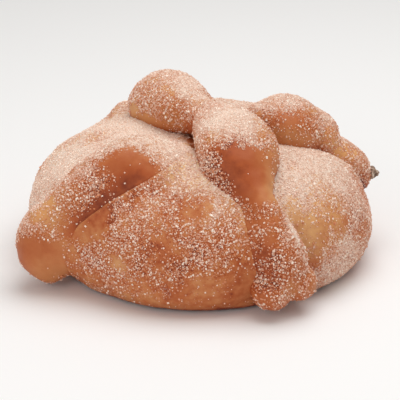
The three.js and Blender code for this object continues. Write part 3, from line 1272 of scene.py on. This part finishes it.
@dataclass
class BurntScrap:
    """A scrap of dough at the right-hand end of the lower strip, burnt and ragged."""

    strip: Strip
    over: float = -79.8
    aside: float = 18.0
    lift: float = 9.0
    length: float = 6.0
    thickness: float = 3.1
    hook: float = -0.3
    belly: float = 0.25
    tears: Pairs = ((3.0, 0.9), (8.0, 0.5))
    length_lumps: float = 2.5
    length_change: float = 0.35
    length_shift: float = 9.0
    subdivisions: int = 5
    lump_count: int = 16
    seed: int = 7
    piece: bpy.types.Object = field(init=False)

    def build(self) -> bpy.types.Object:
        """A tapered blob, hooked and torn by random dents."""
        lumps = Lumps(self.seed, self.lump_count)
        mesh = bpy.data.meshes.new("burnt_scrap")
        ball = bmesh.new()
        bmesh.ops.create_icosphere(ball, subdivisions=self.subdivisions, radius=1.0)
        ball.to_mesh(mesh)
        ball.free()
        co = np.zeros(len(mesh.vertices) * 3)
        mesh.vertices.foreach_get("co", co)
        co = co.reshape(-1, 3)
        outwards = self.strip.dome.direction(self.strip.heading, self.over, self.aside)
        middle = self.strip.place(self.over, self.aside, self.lift - self.length / 2)
        upwards = unit(np.array([0, 0, 1]) - outwards * outwards[2])
        sideways = np.cross(outwards, upwards)
        stubby = 1 + self.belly - self.belly * co[:, 2] ** 2
        torn = 1
        for waves, share in self.tears:
            torn = torn + share * (lumps.at(co * waves, 1.0) - 0.5)
        level = co[:, :2] * (0.5 * self.thickness * stubby * torn)[:, None]
        uneven = lumps.at(co * self.length_lumps + self.length_shift, 1.0) - 0.5
        out = co[:, 2] * 0.5 * self.length * (1 + self.length_change * uneven)
        hook = self.hook * np.maximum(out, 0)
        places = (middle + np.outer(out, outwards) + np.outer(level[:, 0] + hook, upwards)
                  + np.outer(level[:, 1], sideways))
        mesh.vertices.foreach_set("co", (places * MILLIMETRE).ravel())
        mesh.polygons.foreach_set("use_smooth", np.ones(len(mesh.polygons), bool))
        mesh.update()
        self.piece = add_object("burnt_scrap", mesh)
        return self.piece

    def dress(self, material: bpy.types.Material) -> None:
        """Gives the scrap its material and its place in the part."""
        self.piece.data.materials.append(material)
        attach(self.piece, BODY)
        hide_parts(Node.LOWER_STRIP.value)


# ---- studio ----


@dataclass(frozen=True)
class Lamp:
    """A square area light: its place, aim and side in mm, and its power in watts."""

    name: str
    place: Place
    aim: Place
    side: float
    power: float


@dataclass(frozen=True)
class Studio:
    """A pale floor, soft light from above and a camera at the photograph's angle."""

    lamps: tuple[Lamp, ...] = (
        Lamp("top_light", (110, 20, 620), (0, 0, 20), 560, 2.8),
        Lamp("front_fill", (-340, -560, 280), (0, 0, 25), 400, 1.0),
    )
    target: Place = (-0.9, 0.0, 18.8)
    elevation: float = 22.33
    distance: float = 592.6
    lens: float = 152.1
    sensor: float = 36.0
    clip: Pair = (0.05, 20)
    floor_side: float = 6000.0
    floor_colour: Colour = (0.93, 0.93, 0.93, 1.0)
    floor_roughness: float = 0.9
    sky: Colour = (1.0, 0.97, 0.93, 1.0)
    sky_strength: float = 0.43

    def build(self) -> None:
        """Adds the floor, the lights and the camera."""
        self.add_floor()
        self.add_world()
        for lamp in self.lamps:
            self.add_lamp(lamp)
        self.add_camera()

    def add_floor(self) -> None:
        """A plain pale floor."""
        half = self.floor_side / 2
        corners = np.array([(-half, -half, 0), (half, -half, 0), (half, half, 0), (-half, half, 0)], float)
        floor = mesh_object("floor", corners, np.array([[0, 1, 2, 3]]))
        made, _, shader = new_material("pale_floor")
        set_inputs(shader, {"Base Color": self.floor_colour, "Roughness": self.floor_roughness})
        floor.data.materials.append(made)

    def add_world(self) -> None:
        """An even pale sky."""
        world = bpy.data.worlds.new("studio")
        world.use_nodes = True
        set_inputs(world.node_tree.nodes["Background"], {"Color": self.sky, "Strength": self.sky_strength})
        bpy.context.scene.world = world

    def add_lamp(self, lamp: Lamp) -> None:
        """An area light turned to its aim."""
        data = bpy.data.lights.new(lamp.name, "AREA")
        data.shape = "SQUARE"
        data.size = lamp.side * MILLIMETRE
        data.energy = lamp.power
        light = add_object(lamp.name, data)
        light.location = Vector(lamp.place) * MILLIMETRE
        light.rotation_mode = "QUATERNION"
        light.rotation_quaternion = (Vector(lamp.place) - Vector(lamp.aim)).to_track_quat("Z", "Y")

    def add_camera(self) -> None:
        """The camera, looking along +Y and down."""
        angle = math.radians(self.elevation)
        back = Vector((0, -math.cos(angle), math.sin(angle)))
        data = bpy.data.cameras.new("camera")
        data.lens = self.lens
        data.sensor_width = self.sensor
        data.clip_start, data.clip_end = self.clip
        camera = add_object("camera", data)
        camera.location = (Vector(self.target) + back * self.distance) * MILLIMETRE
        camera.rotation_mode = "QUATERNION"
        camera.rotation_quaternion = back.to_track_quat("Z", "Y")
        bpy.context.scene.camera = camera
        bpy.context.scene.view_settings.view_transform = "Standard"


# ---- this bread ----

DOME = Dome()
LOWER = Strip(DOME, -62, tuple(Station(*row) for row in (
    (96, 3, 4, 7, 7), (88, 3, 4.5, 9.5, 9.5), (76, 8, 2, 7, 7.4), (65, 12.4, 2, 9, 8),
    (53, 16.8, 2.2, 10, 8.8), (43, 20.8, 0.8, 8.6, 7), (34, 23.5, -2.2, 5.4, 4.4), (20, 22.5, -4.4, 4.2, 3.4),
    (0, 17, -5.5, 4.5, 3.4), (-14, 15.8, -4, 4.6, 4), (-24, 16.5, 0, 6.2, 5.8), (-31, 17.4, 2.4, 9.8, 8.6),
    (-38, 18, 3.2, 12.8, 10), (-44, 17.2, 3, 12.2, 9.4), (-49, 16, 1.8, 10.6, 8), (-55, 15.2, 1.8, 10.8, 8),
    (-62, 16.2, -0.4, 9.0, 5.7), (-69, 17.2, -0.8, 8.5, 5.8), (-75, 17.8, 0.0, 7.9, 6.2),
    (-80, 17.6, -0.4, 5.8, 5.5))))
UPPER = Strip(DOME, 25, tuple(Station(*row) for row in (
    (93, 1.6, 2, 6, 5.5), (86, 1.2, 2.6, 8.2, 7), (76, -1.2, 2, 6.4, 6), (65, -2.6, 2, 5.2, 6),
    (57, -2.9, 2.4, 9, 7.2), (49, -2.7, 3.8, 13, 9.2), (40, -0.9, 5, 13.4, 10), (28, 0, 4, 11, 9),
    (12, 0, 3, 7, 6.5), (-4, -2, 3, 7.5, 7), (-18, -6, 4, 11, 10), (-31, -6.5, 4.4, 13, 10.8),
    (-44, -4, 2.5, 11, 9), (-56, -1, 1.5, 8, 7), (-66, 0, 1, 7, 6), (-80, 0, 2, 8, 7), (-90, 0, 3, 9, 7))),
    (Knuckle(95.6, -2.5, 3.6, 6.7), Knuckle(94.6, 7, 3.4, 6.3)))
SWELLS = (Swell(221, 57, 7, 5.6), Swell(26, 10, 14, -7.5), Swell(102, 38, 17, -4.5),
          Swell(-80, 30, 12, -4), Swell(-35, 100, 20, -1.8), Swell(-120, 55, 13, -2.6),
          Swell(94, 62, 10, -1.6), Swell(82, 80, 9, -2.4), Swell(52, 46, 7, -1.6))
MELTS = (Melt(Node.LOWER_STRIP, -20, 50, 12, 17.0), Melt(Node.LOWER_STRIP, -75, 45, 20, 3.0),
         Melt(Node.LOWER_STRIP, -38, 70, 15, 9.0), Melt(Node.LOWER_STRIP, -49, 88, 13, 14.0),
         Melt(Node.UPPER_STRIP, 9, 64, 12, 5.0), Melt(Node.UPPER_STRIP, 3, 44, 11, 3.5),
         Melt(Node.UPPER_STRIP, 15, 80, 12, 6.0))
CRACKS = (Crack(((-72, 9, -6), (-64, 9.6, -8), (-15, 24, -4.2), (-8.4, 31.6, -3.9)), 2.0, 1.0),)

LOAF_PATCHES = patches(
    (Mark.CLEAR, -18, 74, 27, 0.85, 0.8), (Mark.CLEAR, 10, 80, 16, 0.7), (Mark.GRAINY, -16, 76, 18, 0.9),
    (Mark.SUGARED, -10, 72, 19, 0.45), (Mark.TOASTED, -12, 72, 16, 0.2), (Mark.GRAINY, 5, 76, 9, 0.8),
    (Mark.GRAINY, -36, 87, 10, 1.2), (Mark.BARE, 47, 80, 10, 0.5), (Mark.LIGHT, 45, 80, 11, 0.24),
    (Mark.PALE, 36, 77, 6, 0.2, 2.4), (Mark.BARE, 36, 77, 5, 0.25, 2.4), (Mark.BARE, -2, 68, 6, 0.6),
    (Mark.TOASTED, -5, 66, 9, 0.3), (Mark.TOASTED, -12, 80, 8, 0.6), (Mark.BARE, -12, 80, 6, 0.6),
    (Mark.TOASTED, 13, 92, 9, 0.5), (Mark.PALE, -14, 43, 8, 0.4), (Mark.PALE, -6, 51, 10, 0.5),
    (Mark.CLEAR, -6, 51, 10, 0.3), (Mark.TOASTED, -9, 64, 8, 0.3), (Mark.BARE, -29, 65, 4, 0.4),
    (Mark.BARE, -36, 74, 4, 0.5), (Mark.TOASTED, -23, 60, 5, 0.5), (Mark.TOASTED, -30, 66, 5, 0.7),
    (Mark.TOASTED, -36, 73, 5, 0.8), (Mark.SUGARED, 0, 55, 9, 0.4), (Mark.SUGARED, 11, 68, 6, 0.6, 2.4),
    (Mark.LIGHT, -82, 64, 24, 0.35), (Mark.CLEAR, -85, 52, 5, 0.5), (Mark.CLEAR, -98, 62, 6, 0.4),
    (Mark.SUGARED, -77, 78, 14, 0.8), (Mark.FROSTED, -79, 76, 17, 0.55), (Mark.CLEAR, 221, 57, 9, 0.5),
    (Mark.FROSTED, -108, 46, 10, 0.4), (Mark.FROSTED, -85, 32, 8, 0.9), (Mark.PALE, -28, 88, 2.8, 0.25),
    (Mark.BARE, -28, 88, 3.0, 0.5), (Mark.BARE, -41, 78, 7, 0.75, 0.8), (Mark.BARE, 2, 98, 22, 0.5, 0.45),
    (Mark.SUGARED, 52, 96, 13, 0.8), (Mark.FROSTED, 52, 96, 12, 0.45), (Mark.SUGARED, 64, 77, 9, 0.6),
    (Mark.FROSTED, 64, 77, 9, 0.3), (Mark.SUGARED, 62, 62, 16, 0.5), (Mark.TOASTED, -66, 10, 6, 0.7),
    (Mark.BARE, -66, 10, 6, 0.8),
)
LOWER_PATCHES = patches(
    (Mark.BARE, 52, 52, 8, 0.9, 1.2), (Mark.TOASTED, 57, 52, 10, 0.8, 1.4),
    (Mark.BROWNED, 57, 46, 6, 0.25), (Mark.LIGHT, 38, 50, 8, 0.45), (Mark.SUGARED, 38, 48, 9, 0.8),
    (Mark.FROSTED, 36, 48, 8, 0.45), (Mark.SUGARED, 66, 38, 6, 0.5, 1.3),
    # The browned band at 62 over and 4 round is the dark crease under the strip, partly redder crust and
    # partly painted shade.
    (Mark.BROWNED, 62, 4, 5.5, 0.85, 3.4), (Mark.BARE, 62, 8, 5, 0.8, 3.2), (Mark.BARE, 90, 38, 10, 1.0),
    (Mark.TOASTED, 88, 45, 9, 0.7), (Mark.LIGHT, 95, 25, 8, 0.2), (Mark.PALE, 32, 95, 8, 0.6),
    (Mark.LIGHT, 78, 95, 6, 0.2), (Mark.BARE, 79, 100, 5, 0.6, 1.4), (Mark.SUGARED, 69, 78, 8, 0.55, 1.2),
    (Mark.TOASTED, 24, 80, 4, 0.8), (Mark.BARE, 24, 80, 4, 0.8), (Mark.BARE, -37, 16, 8, 0.5, 1.3),
    # The light patch at -35 over and -5 round lifts the shaded underside of the strip's back swelling:
    # painted light.
    (Mark.TOASTED, -37, 22, 11, 0.6, 1.3), (Mark.LIGHT, -35, -5, 6, 0.24, 2.0),
    (Mark.LIGHT, -54, 50, 9, 0.3), (Mark.CLEAR, -70, 30, 9, 0.3), (Mark.LIGHT, -70, 14, 8, 0.5),
    (Mark.CLEAR, -35, 71, 10, 0.25),
)
UPPER_PATCHES = patches(
    (Mark.BARE, 57, 118, 11, 1.0, 0.8), (Mark.BARE, 63, 62, 7, 0.9), (Mark.LIGHT, 63, 55, 6, 0.42),
    (Mark.TOASTED, 56, 135, 13, 0.95), (Mark.BROWNED, 55, 155, 9, 0.4),
    (Mark.SUGARED, 54, 176, 4.5, 0.55, 2.2), (Mark.FROSTED, 30, 122, 11, 0.5),
    (Mark.CLEAR, 51, 120, 6, 0.4), (Mark.GRAINY, 48, 124, 8, 1.0), (Mark.CLEAR, 73, 112, 9, 0.6),
    (Mark.BARE, 73, 112, 8, 0.35), (Mark.TOASTED, 74, 125, 9, 0.6), (Mark.CLEAR, 18, 130, 9, 0.55),
    (Mark.FROSTED, 80, 44, 1.3, 1.0, 10.0), (Mark.SUGARED, 80, 44, 1.3, 0.8, 10.0),
    (Mark.CLEAR, 87, 80, 11, 0.6), (Mark.BARE, 87, 80, 11, 0.3), (Mark.GRAINY, -24, 160, 16, 0.9),
    # The light patch at -15 over and 200 round lifts the shaded underside of the round lobe: painted light.
    (Mark.BARE, -18, 204, 4, 0.9, 2.4), (Mark.LIGHT, -15, 200, 6, 0.2, 1.8),
    (Mark.LIGHT, -30, 170, 5, 0.35), (Mark.LIGHT, -27, 140, 14, 0.2), (Mark.BARE, -29, 178, 4, 0.5),
    (Mark.CLEAR, -26, 135, 13, 0.5), (Mark.TOASTED, 12, 195, 6, 0.8), (Mark.BARE, 12, 195, 5, 0.8),
    (Mark.LIGHT, 92, 98, 4, 0.4), (Mark.TOASTED, 90, 130, 12, 0.5), (Mark.BROWNED, 86, 170, 8, 0.7),
    (Mark.BARE, 86, 172, 6, 0.3), (Mark.GRAINY, 83, 160, 5, 0.3), (Mark.GRAINY, 88, 110, 12, 0.6),
)

# crease: darker toast in the creases, partly painted shade.
LOAF_BAKING = Baking(top=0.36, side=0.69, under=0.7, crease=0.08, frost=(0.35, 0.95))
STRIP_BAKING = Baking(top=0.45, side=0.62, under=0.74, crease=0.3, frost=(0.55, 1.05))
LOAF_FINISH = CrustFinish("loaf_crust", unevenness=0.55, film_strength=0.88)
STRIP_FINISH = CrustFinish("strip_crust", unevenness=0.14, film_strength=0.88)
SUGAR_FINISH = SugarFinish("sugar", dull=colour(207, 130, 87), bright=colour(255, 241, 226))
LOAF_PITCH = 0.8
STRIP_PITCH = 0.6
LUMPS_SEED = 5

KINDS_ON_LOAF = (
    Grains("coarse", Crystal.BLOCK, 0.58, 0.82, 14.0, 1.0, 11),
    Grains("medium", Crystal.BLOCK, 0.38, 0.58, 190.0, 1.2, 12),
    Grains("fine", Crystal.CHIP, 0.3, 0.46, 270.0, 1.0, 13),
)
KINDS_ON_STRIPS = (
    Grains("coarse", Crystal.BLOCK, 0.58, 0.85, 18.0, 1.0, 21),
    Grains("medium", Crystal.BLOCK, 0.38, 0.58, 250.0, 1.1, 22),
    Grains("fine", Crystal.CHIP, 0.3, 0.46, 430.0, 1.0, 23),
)


def report(piece: bpy.types.Object) -> None:
    """Logs a piece's name and number of triangles."""
    piece.data.calc_loop_triangles()
    LOG.info("%s: %d triangles", piece.name, len(piece.data.loop_triangles))


def main() -> None:
    """Builds the bread and its studio."""
    logging.basicConfig(level=logging.INFO, format="%(message)s")
    Studio().build()
    dough = Dough(DOME, LOWER, UPPER, SWELLS, MELTS, CRACKS)
    lumps = Lumps(LUMPS_SEED)
    bake = Bake()
    groups = {"bake": bake_group(bake), "film": sugar_film_group(Film())}
    loaf_finish = LOAF_FINISH.material(bake, groups)
    strip_finish = STRIP_FINISH.material(bake, groups)
    loaf = Crust(Node.LOAF, "loaf_crust", Slot.LOAF_CRUST, dough, lumps,
                 LOAF_PATCHES, LOAF_BAKING, LOAF_PITCH)
    lower, upper = (
        Crust(node, name, Slot.STRIP_CRUST, dough, lumps, marks, STRIP_BAKING, STRIP_PITCH)
        for node, name, marks in ((Node.LOWER_STRIP, "lower_crust", LOWER_PATCHES),
                                  (Node.UPPER_STRIP, "upper_crust", UPPER_PATCHES)))
    for crust, finish in ((loaf, loaf_finish), (lower, strip_finish), (upper, strip_finish)):
        report(crust.build())
        crust.dress(finish)
    scrap = BurntScrap(LOWER)
    report(scrap.build())
    scrap.dress(BurntFinish().material())
    scatters = {crystal: SugarScatter(crystal) for crystal in Crystal}
    sugar = SUGAR_FINISH.material()
    for coat in (SugarCoat("loaf_sugar", (loaf,), KINDS_ON_LOAF),
                 SugarCoat("strip_sugar", (lower, upper), KINDS_ON_STRIPS)):
        for piece in coat.build(scatters, sugar):
            report(piece)


if __name__ == "__main__":
    main()
